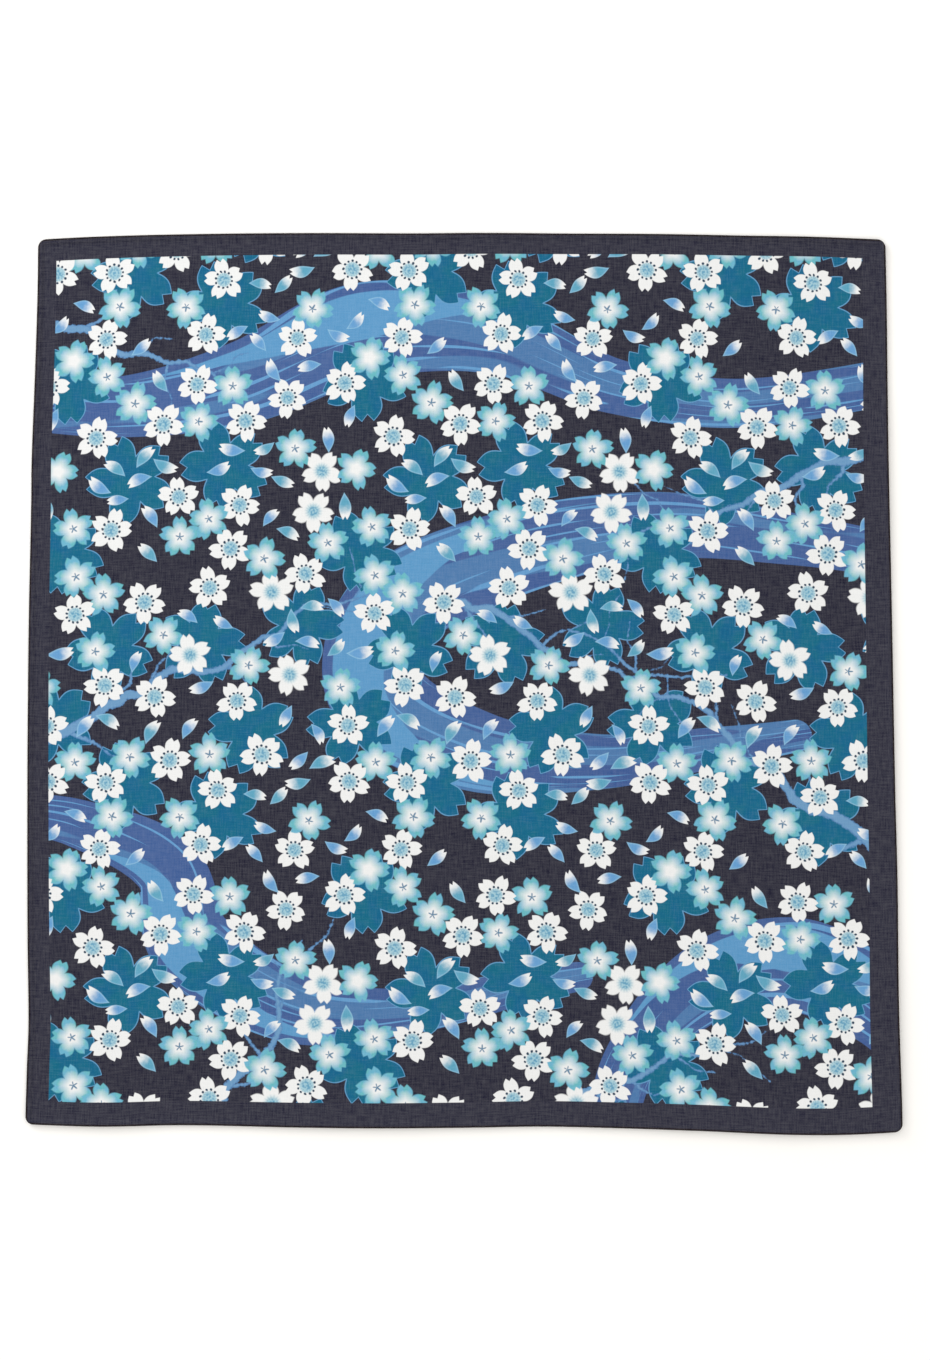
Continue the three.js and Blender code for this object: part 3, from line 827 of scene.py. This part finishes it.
def stitchHem():
    size = np.array((lay["width"], lay["length"]))
    low, high = np.full(2, stitch["inset"]), size - stitch["inset"]
    corners = (low, (high[0], low[1]), high, (low[0], high[1]))
    starts, ends = [], []
    for start, end in zip(corners, corners[1:] + corners[:1]):
        run = np.subtract(end, start)
        count = int(np.hypot(*run) / stitch["pitch"])
        for i in range(count):
            middle = start + run * (i + 0.5) / count
            reach = run / np.hypot(*run) * stitch["length"] / 2
            starts.append(middle - reach)
            ends.append(middle + reach)
    spots = np.array((starts, ends))
    laidEnds = np.stack([layOut(spots[i]) for i in (0, 1)]) * mm + shift
    lifts = np.stack([liftOf(spots[i]) for i in (0, 1)])
    profile = np.array(sheet["profile"])
    faces = [np.interp(stitch["inset"], profile[:, 0], profile[:, column]) for column in (1, 2)]
    stitchMesh = bpy.data.meshes.new("hemStitches")
    sewn = bmesh.new()
    for heightOver in faces:
        tall = (lifts + heightOver) * mm + floorGap
        ends = np.concatenate((laidEnds, tall[:, :, None]), axis=2)
        for first in range(0, ends.shape[1], stitch["batch"]):
            sewRow(stitchMesh, ends[:, first:first + stitch["batch"]])
            sewn.from_mesh(stitchMesh)
    sewn.to_mesh(stitchMesh)
    sewn.free()
    stitchMesh.shade_smooth()
    return stitchMesh


# Cotton sewing thread dyed to match: two plies twisted together, with a low dull shine.
def sewingThread():
    material = bpy.data.materials.new("cottonSewingThread")
    material.use_nodes = True
    tree = material.node_tree
    shader = tree.nodes["Principled BSDF"]
    place = add(tree, "TexCoord")
    twist = add(tree, "TexNoise", {"Vector": place.outputs["Object"], "Scale": 1 / (stitch["twist"] * mm),
                                   "Detail": 1.0})
    tone = add(tree, "MapRange", {"Value": twist.outputs["Fac"], "From Min": 0.3, "From Max": 0.7,
                                  "To Min": 0.75, "To Max": 1.25})
    colour = add(tree, "MixRGB", {"Fac": 1.0, "Color1": stitch["colour"], "Color2": tone},
                 blend_type="MULTIPLY")
    tree.links.new(colour.outputs[0], shader.inputs["Base Color"])
    shader.inputs["Roughness"].default_value = stitch["roughness"]
    bump = add(tree, "Bump", {"Strength": 0.4, "Distance": stitch["plyDepth"] * mm,
                              "Height": twist.outputs["Fac"]})
    tree.links.new(bump.outputs[0], shader.inputs["Normal"])
    return material


stitches = bpy.data.objects.new("hemStitches", stitchHem())
bpy.context.scene.collection.objects.link(stitches)
stitches.data.materials.append(sewingThread())
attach(stitches, "root")
print("hem sewn:", len(stitches.data.polygons), "faces of thread")

floor = {"size": 8, "colour": srgb("#fdfdfd")}
bm = bmesh.new()
bmesh.ops.create_grid(bm, x_segments=1, y_segments=1, size=floor["size"] / 2)
floorMesh = bpy.data.meshes.new("floor")
bm.to_mesh(floorMesh)
bm.free()
ground = bpy.data.objects.new("floor", floorMesh)
bpy.context.scene.collection.objects.link(ground)
paper = bpy.data.materials.new("whitePaper")
paper.use_nodes = True
paper.node_tree.nodes["Principled BSDF"].inputs["Base Color"].default_value = floor["colour"]
paper.node_tree.nodes["Principled BSDF"].inputs["Roughness"].default_value = 0.9
floorMesh.materials.append(paper)

# A big soft light low on the left beyond the cloth, and an even warm white surround.
studio = {"surround": 1.0, "warmWhite": (1, 0.975, 0.93, 1),
          "coolWhite": (0.97, 0.985, 1), "place": (-1.3, 1.2, 0.55), "size": 1.2, "watts": 20}
world = bpy.data.worlds.new("studio")
bpy.context.scene.world = world
world.use_nodes = True
world.node_tree.nodes["Background"].inputs["Color"].default_value = studio["warmWhite"]
world.node_tree.nodes["Background"].inputs["Strength"].default_value = studio["surround"]
key = bpy.data.lights.new("key", "AREA")
key.shape, key.size, key.energy, key.color = "DISK", studio["size"], studio["watts"], studio["coolWhite"]
lamp = bpy.data.objects.new("key", key)
bpy.context.scene.collection.objects.link(lamp)
lamp.location = studio["place"]
lamp.rotation_euler = (-Vector(studio["place"])).to_track_quat("-Z", "Y").to_euler()
bpy.context.scene.view_settings.view_transform = "Standard"

# The photograph looks straight down. Its frame is 930 by 1360, with 0.616 mm to a pixel.
view = {"pixel": 0.616, "width": 930, "height": 1360, "centre": (0.65, 2.4), "lens": 100, "sensor": 36}
camera = bpy.data.cameras.new("camera")
camera.lens, camera.sensor_width = view["lens"], view["sensor"]
camera.sensor_fit = "AUTO"
distance = view["height"] * view["pixel"] * mm * view["lens"] / view["sensor"]
eye = bpy.data.objects.new("camera", camera)
bpy.context.scene.collection.objects.link(eye)
eye.location = (view["centre"][0] * mm, view["centre"][1] * mm, distance)
bpy.context.scene.camera = eye
print("floor, light and camera set")
